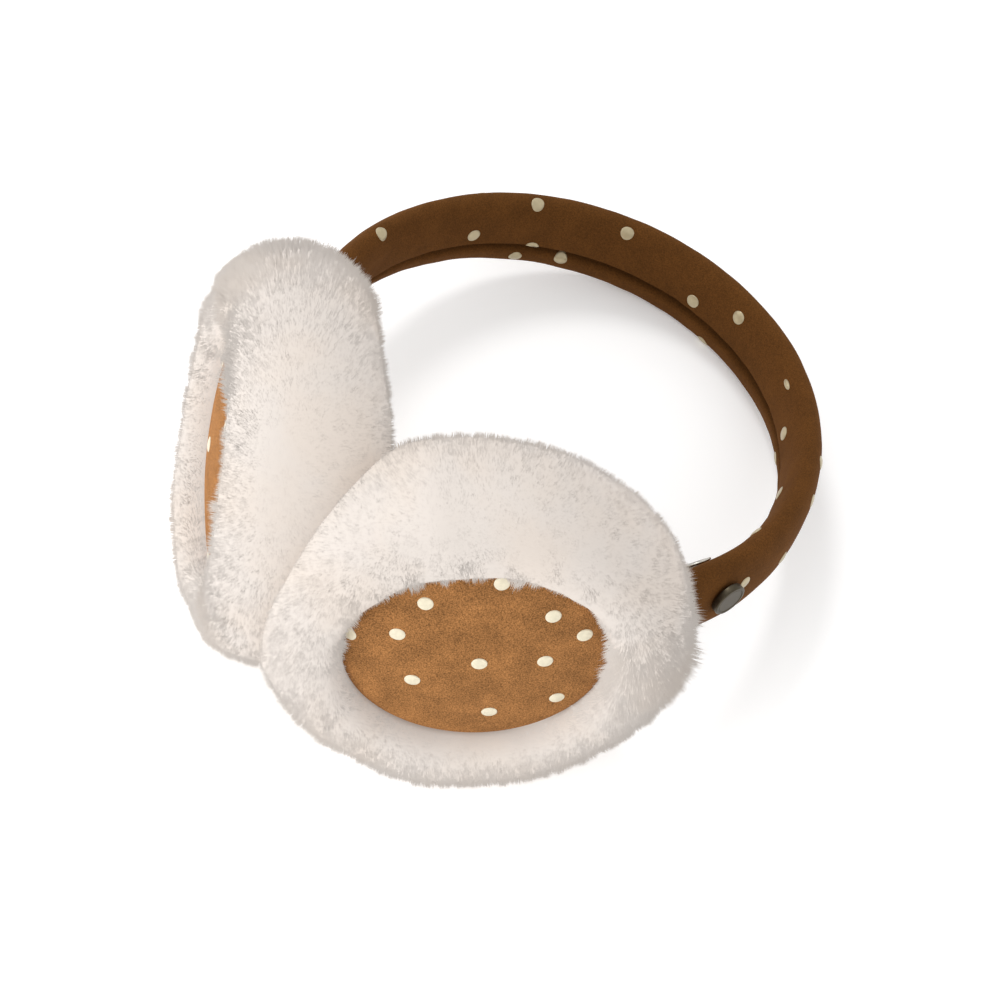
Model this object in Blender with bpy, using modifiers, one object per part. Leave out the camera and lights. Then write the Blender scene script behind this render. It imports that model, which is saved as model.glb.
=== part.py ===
"""Fur earmuffs: two plush round muffs with suede discs, on a padded suede headband.

Lengths are in metres and angles in degrees. The loop of the headband lies in a plane of its
own, where +X points at the right ear, +Y at the crown and +Z out of the plane. The finished
pair leans until the crown and both muffs touch the ground at z = 0, as it lies on a table.
"""

import math
import random

import bmesh
import bpy
from mathutils import Matrix, Vector

# Headband
BAND_HALF_SPAN = 0.0695
BAND_CROWN_REACH = 0.0752
BAND_WIDTH = 0.0246
BAND_THICKNESS = 0.0096
BAND_BEND_END = 106.0
BAND_TAIL_LENGTH = 0.028
BAND_TAIL_TAPER = 0.72
BAND_ROUNDNESS = 2.2
CREASE_DROP = 0.0036
CREASE_WIDTH = 0.0020
CREASE_DEPTH = 0.0016

# Muffs
MUFF_DIAMETER = 0.1155
MUFF_THICKNESS = 0.042
MUFF_SIDE_DISTANCE = 0.0350
MUFF_FRONT_DISTANCE = 0.0774
MUFF_CREST_RADIUS = 0.0395
MUFF_PRESSED_FLAT = 0.0075
EAR_DISH_DEPTH = 0.003
LOCK_HEIGHT = 0.0033
LOCK_UNEVENNESS = 0.2
LOCK_LEAN = 0.0024
LOCK_FADE = 0.006
TUFT_SWELL = 0.0008

# How each soft muff has settled: its disc turns to the front and tips down, and its middle
# shifts outward, forward and up
SETTLED = {
    "left": {"turn": 44.0, "tip": 4.5, "outward": 0.0004, "forward": 0.0004, "up": -0.0036},
    "right": {"turn": 49.0, "tip": 1.5, "outward": -0.0008, "forward": 0.0011, "up": 0.0016},
}

# How much each muff's fur is drawn in round its rim and stands fuller on both of its sides
FULLNESS = {
    "left": {"drawn_in": 0.0025, "fuller": 0.0020},
    "right": {"drawn_in": 0.0, "fuller": 0.0},
}

# Suede discs
DISC_DIAMETER = 0.067
DISC_THICKNESS = 0.002
DISC_DOME = 0.0045
DISC_RECESS = 0.0075

# Snap at the right end of the band: button on the outer face, eyelet on the inner face
SNAP_ANGLE = 102.0
SNAP_HEIGHT = 0.0028
BUTTON_DIAMETER = 0.0105
BUTTON_THICKNESS = 0.0021
BUTTON_BEVEL = 0.0004
POST_DIAMETER = 0.0040
POST_LENGTH = 0.0040
EYELET_DIAMETER = 0.0096
EYELET_BORE = 0.0060
EYELET_RISE = 0.0018
EYELET_INNER_LIP = 0.0013
EYELET_OUTER_LIP = 0.0010
BARREL_DIAMETER = 0.0072
BARREL_LENGTH = 0.0028

# Space between neighbouring pieces
CLEARANCE = 0.0003

# Fineness of the meshes
BAND_STEPS = 48
TAIL_STEPS = 4
SECTION_STEPS = 10
LOCKS_ACROSS = 12
WALL_ROWS = 2
ROUND_STEPS = 40
DISC_RINGS = (0.0, 0.35, 0.65, 0.88, 1.0)

# Linear colour, roughness and metallic share of each finish
FINISHES = {
    "sheepskin_fur": ((0.79, 0.72, 0.67), 0.95, 0.0),
    "tan_suede": ((0.31, 0.15, 0.055), 0.9, 0.0),
    "brown_suede": ((0.125, 0.052, 0.017), 0.9, 0.0),
    "gunmetal": ((0.11, 0.095, 0.08), 0.38, 1.0),
    "nickel": ((0.55, 0.53, 0.49), 0.3, 1.0),
}


def clear_scene():
    for obj in list(bpy.data.objects):
        bpy.data.objects.remove(obj, do_unlink=True)


def new_collection(name):
    collection = bpy.data.collections.new(name)
    bpy.context.scene.collection.children.link(collection)
    return collection


def new_material(name):
    colour, roughness, metallic = FINISHES[name]
    material = bpy.data.materials.new(name)
    material.use_nodes = True
    shader = material.node_tree.nodes["Principled BSDF"]
    shader.inputs["Base Color"].default_value = (*colour, 1.0)
    shader.inputs["Roughness"].default_value = roughness
    shader.inputs["Metallic"].default_value = metallic
    return material


def new_object(name, mesh, collection, root, place):
    """Link a mesh under the root, at a place in the plane of the band."""
    obj = bpy.data.objects.new(name, mesh)
    collection.objects.link(obj)
    obj.parent = root
    obj.matrix_basis = place
    return obj


# Headband


def loop_frame(angle):
    """Middle, forward and outward directions of the band's loop at an angle from the crown."""
    turn = math.radians(angle)
    middle = Vector((BAND_HALF_SPAN * math.sin(turn), BAND_CROWN_REACH * math.cos(turn), 0.0))
    forward = Vector((BAND_HALF_SPAN * math.cos(turn), -BAND_CROWN_REACH * math.sin(turn), 0.0))
    forward.normalize()
    return middle, forward, Vector((-forward.y, forward.x, 0.0))


def band_bulge(height, half_width, half_thickness):
    """Half thickness of the padded section at a height across the band."""
    share = min(1.0, abs(height / half_width))
    return half_thickness * (1.0 - share ** BAND_ROUNDNESS) ** (1.0 / BAND_ROUNDNESS)


def band_section(grow=0.0):
    """Closed outline as (outward, up) pairs; the plain band has its crease on the inner face."""
    half_width = BAND_WIDTH / 2 + grow
    half_thickness = BAND_THICKNESS / 2 + grow
    turns = [180.0 * step / SECTION_STEPS - 90.0 for step in range(1, SECTION_STEPS)]
    heights = [half_width * math.sin(math.radians(turn)) for turn in turns]
    outer = [(band_bulge(height, half_width, half_thickness), height) for height in heights]
    inner = [(-band_bulge(height, half_width, half_thickness), height) for height in heights]
    if grow == 0.0:
        inner = [point for point in inner if abs(point[1] + CREASE_DROP) > CREASE_WIDTH]
        for across, depth in ((-0.5, 0.0), (0.0, CREASE_DEPTH), (0.5, 0.0)):
            height = across * CREASE_WIDTH - CREASE_DROP
            inner.append((depth - band_bulge(height, half_width, half_thickness), height))
        inner.sort(key=lambda point: point[1])
    return [(0.0, -half_width), *outer, (0.0, half_width), *reversed(inner)]


def tail_frames(side, extra=0.0):
    """Stations of one straight end, from the bend to the tip inside the muff."""
    middle, forward, outward = loop_frame(side * BAND_BEND_END)
    frames = []
    for step in range(TAIL_STEPS + 1):
        share = step / TAIL_STEPS
        run = share * (BAND_TAIL_LENGTH + extra)
        size = 1.0 - (1.0 - BAND_TAIL_TAPER) * share
        frames.append((middle + forward * side * run, outward, size))
    return frames


def band_ring(frame, outline):
    middle, outward, size = frame
    return [middle + (outward * out + Vector((0.0, 0.0, up))) * size for out, up in outline]


def loft_mesh(name, rings):
    """Closed solid through rings of equal length, with flat ends."""
    bm = bmesh.new()
    loops = [[bm.verts.new(point) for point in ring] for ring in rings]
    count = len(loops[0])
    for first, second in zip(loops, loops[1:]):
        for here in range(count):
            after = (here + 1) % count
            bm.faces.new((first[here], first[after], second[after], second[here]))
    bm.faces.new(loops[0])
    bm.faces.new(loops[-1])
    bmesh.ops.recalc_face_normals(bm, faces=bm.faces)
    mesh = bpy.data.meshes.new(name)
    bm.to_mesh(mesh)
    bm.free()
    return mesh


def band_mesh():
    frames = tail_frames(-1)[:0:-1]
    for step in range(BAND_STEPS + 1):
        angle = BAND_BEND_END * (2.0 * step / BAND_STEPS - 1.0)
        middle, _, outward = loop_frame(angle)
        frames.append((middle, outward, 1.0))
    frames += tail_frames(1)[1:]
    outline = band_section()
    return loft_mesh("band_cover", [band_ring(frame, outline) for frame in frames])


def pocket_mesh(side):
    """The space that one end of the band takes up in its muff, with clearance all round."""
    step = 2.0 * BAND_BEND_END / BAND_STEPS
    frames = []
    for back in (4, 3, 2, 1):
        middle, _, outward = loop_frame(side * (BAND_BEND_END - back * step))
        frames.append((middle, outward, 1.0))
    frames += tail_frames(side, CLEARANCE)
    outline = band_section(CLEARANCE / BAND_TAIL_TAPER)
    return loft_mesh("band_pocket", [band_ring(frame, outline) for frame in frames])


# How the pair lies


def band_underside(lean):
    """How far the band at the crown reaches below its middle line when the loop leans."""
    reach = [up * math.cos(lean) - out * math.sin(lean) for out, up in band_section()]
    return -min(reach)


def resting_lean():
    """Lean at which the crown and both pressed muffs touch the ground together."""
    reach = BAND_CROWN_REACH + MUFF_FRONT_DISTANCE
    lean = 0.0
    for _ in range(30):
        rise = MUFF_DIAMETER / 2 - MUFF_PRESSED_FLAT - band_underside(lean)
        lean = math.asin(rise / reach)
    return lean


def resting_matrix():
    lean = resting_lean()
    height = BAND_CROWN_REACH * math.sin(lean) + band_underside(lean)
    return Matrix.Translation((0.0, 0.0, height)) @ Matrix.Rotation(-lean, 4, "X")


# Muffs


def muff_place(side):
    """Middle of a muff, with its own +Z out through the suede disc and +Y up."""
    settled = SETTLED["right" if side > 0 else "left"]
    turn = math.radians(settled["turn"])
    outward = Vector((side * math.cos(turn), -math.sin(turn), 0.0))
    up = Vector((0.0, 0.0, 1.0))
    facing = Matrix((up.cross(outward), up, outward)).transposed().to_4x4()
    aside = side * (MUFF_SIDE_DISTANCE + settled["outward"])
    ahead = -MUFF_FRONT_DISTANCE - settled["forward"]
    middle = Matrix.Translation((aside, ahead, settled["up"]))
    return middle @ facing @ Matrix.Rotation(math.radians(settled["tip"]), 4, "X")


def seat_height():
    """Height of the seat under a suede disc, over the middle plane of its muff."""
    return MUFF_THICKNESS / 2 - DISC_RECESS - DISC_THICKNESS - CLEARANCE


def seat_radius():
    return DISC_DIAMETER / 2 + CLEARANCE


def muff_profile(row, fullness):
    """Radius and height of the skin under the fur, a row of locks at a time."""
    rim = MUFF_DIAMETER / 2 - LOCK_HEIGHT - fullness["drawn_in"]
    crest = MUFF_THICKNESS / 2 - LOCK_HEIGHT + fullness["fuller"]
    lip = seat_height() + DISC_THICKNESS + 3 * CLEARANCE
    if row <= 0:
        return seat_radius(), seat_height()
    if row == 1:
        return seat_radius(), lip
    if row <= 1 + WALL_ROWS:
        turn = 0.5 * math.pi * (row - 1) / WALL_ROWS
        radius = MUFF_CREST_RADIUS - (MUFF_CREST_RADIUS - seat_radius()) * math.cos(turn)
        return radius, lip + (crest - lip) * math.sin(turn)
    turn = math.pi * (row - 1 - WALL_ROWS) / (LOCKS_ACROSS - 1 - WALL_ROWS)
    radius = MUFF_CREST_RADIUS + (rim - MUFF_CREST_RADIUS) * math.sin(turn)
    return radius, crest * math.cos(turn)


def square_to_disc(x, y):
    """Share of the radius and direction that an even square grid takes on a disc."""
    share = max(abs(x), abs(y))
    if share < 1e-6:
        return 0.0, 0.0
    if abs(x) >= abs(y):
        turn = 0.25 * math.pi * y / x + (math.pi if x < 0.0 else 0.0)
    else:
        turn = 0.5 * math.pi - 0.25 * math.pi * x / y + (math.pi if y < 0.0 else 0.0)
    return share, turn


def cube_end(point):
    """The end of the divided cube that a point is on: 1 the top, -1 the bottom, 0 the sides."""
    return int(round(point.z, 3))


def muff_point(corner, fullness):
    """Where a corner of the divided cube goes on the skin of the muff."""
    share, turn = square_to_disc(corner.x, corner.y)
    swell = TUFT_SWELL * math.sin(5.0 * turn + 1.0) * math.sin(3.0 * corner.z + 2.0 * turn)
    if cube_end(corner) == 1:
        radius, height = share * seat_radius(), seat_height()
        swell = 0.0
    elif cube_end(corner) == -1:
        radius, height = muff_profile(LOCKS_ACROSS, fullness)
        dish = 0.5 + 0.5 * math.cos(math.pi * share)
        radius, height = radius * share, height + EAR_DISH_DEPTH * dish
    else:
        row = (1.0 - corner.z) / 2.0 * LOCKS_ACROSS
        radius, height = muff_profile(round(row), fullness)
        swell *= min(1.0, max(0.0, row - 1.0) / WALL_ROWS)
    radius += swell
    return Vector((radius * math.cos(turn), radius * math.sin(turn), height))


def pressed(point, side):
    """Fur gives way to the ground and to the other muff."""
    return Vector((side * max(point.x * side, CLEARANCE / 2), point.y, max(point.z, 0.0)))


def on_plane(face, to_world, measure):
    return all(round(measure(to_world @ vert.co), 6) <= 0.0 for vert in face.verts)


def muff_mesh(name, side, to_world, seed):
    """Skin of the muff with a tapered, leaning lock raised on every face of the fur."""
    dice = random.Random(seed)
    fullness = FULLNESS["right" if side > 0 else "left"]
    to_local = to_world.inverted()
    bm = bmesh.new()
    bmesh.ops.create_cube(bm, size=2.0)
    bmesh.ops.subdivide_edges(bm, edges=bm.edges, cuts=LOCKS_ACROSS - 1, use_grid_fill=True)
    seat = [face for face in bm.faces if cube_end(face.calc_center_median()) == 1]
    wall_level = 1.0 - 2.0 / LOCKS_ACROSS
    wall = [face for face in bm.faces if face.calc_center_median().z > wall_level]
    for vert in bm.verts:
        vert.co = to_local @ pressed(to_world @ muff_point(vert.co, fullness), side)
    bare = set(seat + wall)
    ground = [f for f in bm.faces if on_plane(f, to_world, lambda point: point.z)]
    meeting = [
        f for f in bm.faces
        if on_plane(f, to_world, lambda point: point.x * side - CLEARANCE / 2)
    ]
    bare.update(ground, meeting)
    furry = [face for face in bm.faces if face not in bare]
    for flat in (seat, ground, meeting):
        if flat:
            bmesh.ops.dissolve_faces(bm, faces=flat)
    for tip in bmesh.ops.poke(bm, faces=furry)["verts"]:
        tip.normal_update()
        middle = to_world @ tip.co
        room = min(middle.z, middle.x * side)
        free = min(1.0, max(0.0, room / LOCK_FADE))
        lean = Vector([dice.uniform(-1.0, 1.0) for _ in range(3)]) * LOCK_LEAN
        lean -= tip.normal * lean.dot(tip.normal)
        height = LOCK_HEIGHT * dice.uniform(1.0 - LOCK_UNEVENNESS, 1.0 + LOCK_UNEVENNESS)
        moved = tip.co + (tip.normal * height + lean) * free
        tip.co = to_local @ pressed(to_world @ moved, side)
    bmesh.ops.recalc_face_normals(bm, faces=bm.faces)
    mesh = bpy.data.meshes.new(name)
    bm.to_mesh(mesh)
    bm.free()
    return mesh


# Turned pieces


def turned_object(name, profile, material, collection, root, place):
    """Solid of a (radius, height) profile run down its outer side, turned about its own Z."""
    bm = bmesh.new()
    verts = [bm.verts.new((radius, 0.0, height)) for radius, height in profile]
    for first, second in zip(verts, verts[1:]):
        bm.edges.new((first, second))
    if profile[0][0] > 0.0:
        bm.edges.new((verts[-1], verts[0]))
    mesh = bpy.data.meshes.new(name)
    bm.to_mesh(mesh)
    bm.free()
    mesh.materials.append(material)
    obj = new_object(name, mesh, collection, root, place)
    screw = obj.modifiers.new("turn", "SCREW")
    screw.steps = ROUND_STEPS
    screw.render_steps = ROUND_STEPS
    screw.use_merge_vertices = True
    screw.merge_threshold = 0.00001
    screw.use_smooth_shade = True
    return obj


def disc_profile():
    """Suede disc, thin and slightly domed over its padding."""
    radius = DISC_DIAMETER / 2
    profile = []
    for share in DISC_RINGS:
        profile.append((radius * share, DISC_THICKNESS + DISC_DOME * (1.0 - share ** 2)))
    return profile + [(radius, 0.0), (0.0, 0.0)]


def button_profile():
    """Flat cap with a bevelled edge, on a plain post that goes down into the band."""
    cap = BUTTON_DIAMETER / 2
    post = POST_DIAMETER / 2
    return [
        (0.0, BUTTON_THICKNESS),
        (cap - BUTTON_BEVEL, BUTTON_THICKNESS),
        (cap, BUTTON_THICKNESS - BUTTON_BEVEL),
        (cap, BUTTON_BEVEL),
        (cap - BUTTON_BEVEL, 0.0),
        (post, 0.0),
        (post, -POST_LENGTH),
        (0.0, -POST_LENGTH),
    ]


def eyelet_profile():
    """Rolled rim round an open bore, on a barrel that goes into the band."""
    bore = EYELET_BORE / 2
    rim = EYELET_DIAMETER / 2
    barrel = BARREL_DIAMETER / 2
    return [
        (bore, EYELET_INNER_LIP),
        ((bore + rim) / 2, EYELET_RISE),
        (rim, EYELET_OUTER_LIP),
        (rim, 0.0),
        (barrel, 0.0),
        (barrel, -BARREL_LENGTH),
        (bore, -BARREL_LENGTH),
    ]


def hole_profile(radius, depth):
    """Cutter for a blind hole that starts above the surface."""
    above = BAND_THICKNESS / 2
    return [(0.0, above), (radius, above), (radius, -depth), (0.0, -depth)]


def band_surface_place(angle, height, facing):
    """On the band's outer (1) or inner (-1) face, with +Z straight out of that face."""
    middle, forward, outward = loop_frame(angle)
    reach = band_bulge(height, BAND_WIDTH / 2, BAND_THICKNESS / 2) + CLEARANCE
    normal = outward * facing
    side = Vector((0.0, 0.0, 1.0)).cross(normal)
    turn = Matrix((side, Vector((0.0, 0.0, 1.0)), normal)).transposed().to_4x4()
    return Matrix.Translation(middle + normal * reach + Vector((0.0, 0.0, height))) @ turn


def cut(obj, cutter):
    cutter.hide_render = True
    cutter.display_type = "WIRE"
    modifier = obj.modifiers.new(cutter.name, "BOOLEAN")
    modifier.operation = "DIFFERENCE"
    modifier.solver = "EXACT"
    modifier.object = cutter


def centre_on_origin(root, parts):
    """Move the whole so that the origin is on the ground under the middle of its outline."""
    bpy.context.view_layer.update()
    corners = []
    for part in parts:
        corners += [part.matrix_world @ vert.co for vert in part.data.vertices]
    for axis in (0, 1):
        low = min(corner[axis] for corner in corners)
        high = max(corner[axis] for corner in corners)
        root.location[axis] -= (low + high) / 2


def build():
    clear_scene()
    parts = new_collection("fur_earmuffs")
    cutters = new_collection("cutters")
    finish = {name: new_material(name) for name in FINISHES}
    rest = resting_matrix()
    root = bpy.data.objects.new("earmuffs_root", None)
    root.matrix_world = rest
    parts.objects.link(root)

    band = new_object("band_cover", band_mesh(), parts, root, Matrix.Identity(4))
    band.data.materials.append(finish["brown_suede"])
    band.data.shade_smooth()
    band.data.set_sharp_from_angle(angle=math.radians(50.0))

    muffs = []
    for side, name, seed in ((-1, "left", 11), (1, "right", 23)):
        place = muff_place(side)
        mesh = muff_mesh(name + "_muff_fur", side, rest @ place, seed)
        mesh.materials.append(finish["sheepskin_fur"])
        muff = new_object(name + "_muff_fur", mesh, parts, root, place)
        pocket = new_object(
            name + "_band_pocket", pocket_mesh(side), cutters, root, Matrix.Identity(4)
        )
        cut(muff, pocket)
        muffs.append(muff)
        seat = place @ Matrix.Translation((0.0, 0.0, seat_height() + CLEARANCE))
        turned_object(
            name + "_muff_disc", disc_profile(), finish["tan_suede"], parts, root, seat
        )

    button_place = band_surface_place(SNAP_ANGLE, SNAP_HEIGHT, 1)
    turned_object("snap_button", button_profile(), finish["gunmetal"], parts, root, button_place)
    eyelet_place = band_surface_place(SNAP_ANGLE, SNAP_HEIGHT, -1)
    turned_object("snap_eyelet", eyelet_profile(), finish["nickel"], parts, root, eyelet_place)
    for name, radius, depth, place in (
        ("button_hole", POST_DIAMETER / 2, POST_LENGTH, button_place),
        ("eyelet_hole", BARREL_DIAMETER / 2, BARREL_LENGTH, eyelet_place),
    ):
        profile = hole_profile(radius + CLEARANCE, depth + CLEARANCE)
        cut(band, turned_object(name, profile, finish["brown_suede"], cutters, root, place))

    centre_on_origin(root, [band, *muffs])


build()
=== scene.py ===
"""Looks of the fur earmuffs: plush muffs, suede discs, padded suede band, foil dots and snap."""

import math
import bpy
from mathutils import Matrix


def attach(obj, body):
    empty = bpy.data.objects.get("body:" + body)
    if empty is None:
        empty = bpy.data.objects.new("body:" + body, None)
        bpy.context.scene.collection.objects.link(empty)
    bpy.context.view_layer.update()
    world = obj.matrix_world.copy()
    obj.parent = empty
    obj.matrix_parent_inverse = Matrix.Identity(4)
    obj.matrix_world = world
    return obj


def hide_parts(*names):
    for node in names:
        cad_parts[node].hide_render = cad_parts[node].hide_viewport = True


bl_info = {
    "name": "Fur Earmuffs",
    "version": (1, 0, 0),
    "blender": (4, 5, 0),
    "location": "3D View > Sidebar > Earmuffs",
    "description": "Dresses the earmuffs frame in sheepskin fur, suede, foil dots and metal",
    "category": "Object",
}

import bmesh
import bpy
import numpy as np
from bpy.props import FloatProperty, FloatVectorProperty, IntProperty, PointerProperty
from bpy.types import Operator, Panel, PropertyGroup
from mathutils import Matrix, Vector

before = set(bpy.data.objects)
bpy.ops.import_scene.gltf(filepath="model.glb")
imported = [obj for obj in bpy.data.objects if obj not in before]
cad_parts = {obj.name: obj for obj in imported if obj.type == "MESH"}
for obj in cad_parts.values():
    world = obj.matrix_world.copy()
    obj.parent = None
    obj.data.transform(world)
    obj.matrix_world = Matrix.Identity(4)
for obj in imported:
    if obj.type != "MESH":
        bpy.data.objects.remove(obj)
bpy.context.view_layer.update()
MM = 0.001

# Places of the foil dots. On the band: angle round the loop from the crown towards the snap,
# angle round the section from the outward face (0) over the top edge (90), in degrees, and how
# much of the dot's length round the section shows beside its fold.
BAND_DOTS = (
    (-91.5, 106, 1.0), (-62.5, 174, 1.0), (-48.0, 112, 1.0), (-46.0, 190, 1.0),
    (-48.5, 222, 1.0), (-37.5, 210, 1.0), (-25.0, 128, 1.0), (-2.5, 176, 1.0),
    (10.5, 146, 1.0), (34.5, 138, 0.45), (45.5, 172, 1.0), (58.0, 48, 1.0), (68.5, 36, 1.0),
    (66.5, 168, 1.0), (44.5, 228, 1.0), (81.0, 358, 1.0), (96.5, 16, 1.0), (3.5, 246, 1.0),
    (87.0, 136, 1.0), (-84.0, 30, 1.0), (-76.0, 345, 1.0), (-60.0, 46, 1.0),
    (-52.0, 10, 1.0), (-38.0, 335, 1.0), (-30.0, 42, 1.0), (-18.0, 2, 1.0), (-8.0, 40, 1.0),
    (3.0, 15, 1.0), (12.0, 338, 1.0), (21.0, 42, 1.0), (30.0, 4, 1.0), (41.0, 345, 1.0),
    (62.0, 320, 1.0), (73.0, 250, 1.0), (-70.0, 282, 1.0), (-20.0, 290, 1.0), (26.0, 285, 1.0),
)
# On a disc: millimetres from its middle, towards the band and up.
RIGHT_DISC_DOTS = (
    (-18.9, 17.7), (-2.5, 29.7), (13.6, 22.1), (23.9, 16.5), (-22.4, 4.8), (-33.5, -1.7),
    (0.4, 1.6), (16.7, 6.0), (-13.7, -10.9), (24.9, -9.1), (9.5, -18.5),
)
LEFT_DISC_DOTS = (
    (-22.6, -20.5), (20.3, -11.8), (-20.1, 21.0), (15.5, 18.4), (6.0, 15.5), (29.0, 0.0),
    (-29.0, 5.0), (-2.5, 28.0), (-10.0, 17.0), (-6.2, -4.0), (14.0, -27.0),
)
# How each muff's fur departs from an even ring, in millimetres: at its rim and at the crest of
# its front and its ear side, and how far its wall leans over the disc, every 30 degrees from
# the side towards the band. Its tuft is the place, in degrees, where longer fur falls over the
# band, and how much longer it is.
MUFF_FORMS = {
    "left": {
        "tuft": (122.0, 2.2),
        "rim": (-3.0, -2.6, -2.5, -2.0, -0.2, 0.0, -1.6, -2.2, -2.5, -2.8, -4.0, -2.6),
        "crest": (0.6, 1.1, 1.3, 1.1, 0.7, 0.3, 0.7, 1.2, 2.0, 1.2, -2.8, -1.2),
        "ear": (1.5, 2.2, 2.0, -0.4, -1.1, -0.6, 0.4, 1.0, 1.0, 1.0, 1.0, 1.2),
        "wall": (0.0, 0.0, 0.5, 1.5, 3.2, 3.2, 1.5, 0.0, 0.0, 0.3, 0.8, 0.3),
    },
    "right": {
        "tuft": (8.0, 3.0),
        "rim": (0.8, -1.2, -1.6, 0.4, 0.6, 0.0, 0.0, 0.2, -0.5, 0.7, -1.0, -1.8),
        "crest": (-0.3, 0.0, 0.0, 0.2, 0.2, 0.2, 0.0, 0.0, 0.0, 0.0, -0.5, -0.5),
        "ear": (0.0, 0.0, 0.0, 0.0, 0.0, 0.0, 0.0, 0.0, 0.0, 0.0, 0.0, 0.0),
        "wall": (0.0, 0.0, 0.0, 0.0, 0.0, 0.2, 0.5, 0.8, 0.8, 0.8, 0.6, 0.2),
    },
}


def colour(red, green, blue):
    """Linear colour of a red, green and blue from 0 to 255 as a screen shows them."""
    return tuple(((part / 255 + 0.055) / 1.055) ** 2.4 for part in (red, green, blue))


def colour_property(name, description, screen):
    return FloatVectorProperty(
        name=name, description=description, subtype="COLOR", default=colour(*screen),
        min=0.0, max=1.0,
    )


def length_property(name, description, metres):
    return FloatProperty(
        name=name, description=description, default=metres, unit="LENGTH", subtype="DISTANCE",
    )


def angle_property(name, description, degrees):
    return FloatProperty(
        name=name, description=description, default=math.radians(degrees), unit="ROTATION",
        subtype="ANGLE",
    )


class EarmuffsBandSettings(PropertyGroup):
    """Sizes and colour of the padded headband."""

    half_span: length_property("Half Span", "Loop's middle line to the side", 0.0695)
    crown_reach: length_property("Crown Reach", "Loop's middle line to the crown", 0.0752)
    width: length_property("Width", "Band across", 0.0246)
    thickness: length_property("Thickness", "Band through its padding", 0.0096)
    bend_end: angle_property("Bend End", "Angle from the crown where the ends run straight", 106)
    tail_length: length_property("Tail Length", "Straight end inside a muff", 0.028)
    tail_taper: FloatProperty(name="Tail Taper", description="Share left at the tip", default=0.72)
    roundness: FloatProperty(name="Roundness", description="Power of the section", default=2.2)
    crease_height: length_property("Crease Height", "Seam on the inner face", -0.0037)
    crease_depth: length_property("Crease Depth", "How deep the seam pulls in", 0.0026)
    crease_over: length_property("Crease Over", "Reach of the pull above the seam", 0.0007)
    crease_under: length_property("Crease Under", "Reach of the pull below the seam", 0.0017)
    step_back: length_property("Step Back", "Face below the seam behind the one above", 0.0006)
    wrinkle: length_property("Wrinkle", "Height of the soft ripples in the suede", 0.00013)
    suede: colour_property("Suede", "Colour of the band's suede", (87, 54, 22))


class EarmuffsMuffSettings(PropertyGroup):
    """Sizes of the muffs and their fur."""

    radius: length_property("Radius", "Muff over the ends of its fur", 0.0583)
    thickness: length_property("Thickness", "Muff through its fur", 0.0425)
    cad_thickness: length_property("Frame Thickness", "Muff in the frame", 0.042)
    recess: length_property("Recess", "Disc under the crest of the fur", 0.0075)
    crest: length_property("Crest", "Radius of the ring's highest line", 0.0400)
    wall: length_property("Wall", "Radius of the skin beside the disc", 0.0364)
    plush: length_property("Plush", "Length of the strands that shows", 0.0016)
    dish: length_property("Dish", "Hollow of the ear side", 0.003)
    pile: length_property("Pile", "Fur over its skin", 0.0034)
    strand_width: length_property("Strand Width", "Strand at its root", 0.00038)
    ring_strands: IntProperty(name="Ring Strands", description="Round a disc", default=38000)
    rim_strands: IntProperty(name="Rim Strands", description="Round a rim", default=42000)
    ear_strands: IntProperty(name="Ear Strands", description="On an ear side", default=26000)
    fur: colour_property("Fur", "Colour of the fur", (205, 197, 190))
    warm: colour_property("Warm Fur", "Colour of its warmer patches", (206, 196, 187))


class EarmuffsTrimSettings(PropertyGroup):
    """Sizes and colours of the discs, dots and snap."""

    disc_radius: length_property("Disc Radius", "Suede disc in a muff", 0.0345)
    disc_dome: length_property("Disc Dome", "Padding under a disc", 0.0046)
    disc_lift: length_property("Disc Lift", "Disc over the middle of its muff", 0.0008)
    disc_edge: length_property("Disc Edge", "Thickness of a disc at its edge", 0.002)
    disc_suede: colour_property("Disc Suede", "Colour of the discs' suede", (138, 95, 55))
    dot_radius: length_property("Dot Radius", "Foil dot on a disc", 0.00208)
    band_dot_radius: length_property("Band Dot Radius", "Foil dot on the band", 0.00195)
    dot_thickness: length_property("Dot Thickness", "Foil dot over the suede", 0.0002)
    dot_dome: length_property("Dot Dome", "Swell of a dot in its middle", 0.00022)
    foil: colour_property("Foil", "Colour of the discs' foil dots", (224, 215, 190))
    band_foil: colour_property("Band Foil", "Colour of the band's foil dots", (186, 172, 140))
    snap_angle: angle_property("Snap Angle", "Place of the snap from the crown", 102)
    snap_height: length_property("Snap Height", "Place of the snap across the band", 0.0028)
    button_radius: length_property("Button Radius", "Snap button", 0.0050)
    button_thickness: length_property("Button Thickness", "Snap button", 0.0020)
    eyelet_radius: length_property("Eyelet Radius", "Snap eyelet over its rim", 0.0048)
    eyelet_rise: length_property("Eyelet Rise", "Snap eyelet over the suede", 0.0018)
    eyelet_shift: angle_property("Eyelet Shift", "Eyelet past the button, round the loop", 3.0)
    eyelet_lift: length_property("Eyelet Lift", "Eyelet above the snap button", 0.0024)
    eyelet_tilt: angle_property("Eyelet Tilt", "Lean of the eyelet in the soft padding", 32.0)
    clearance: length_property("Clearance", "Space between hard pieces", 0.0003)
    gunmetal: colour_property("Gunmetal", "Colour of the button", (82, 75, 62))
    nickel: colour_property("Nickel", "Colour of the eyelet", (214, 210, 200))


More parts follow.
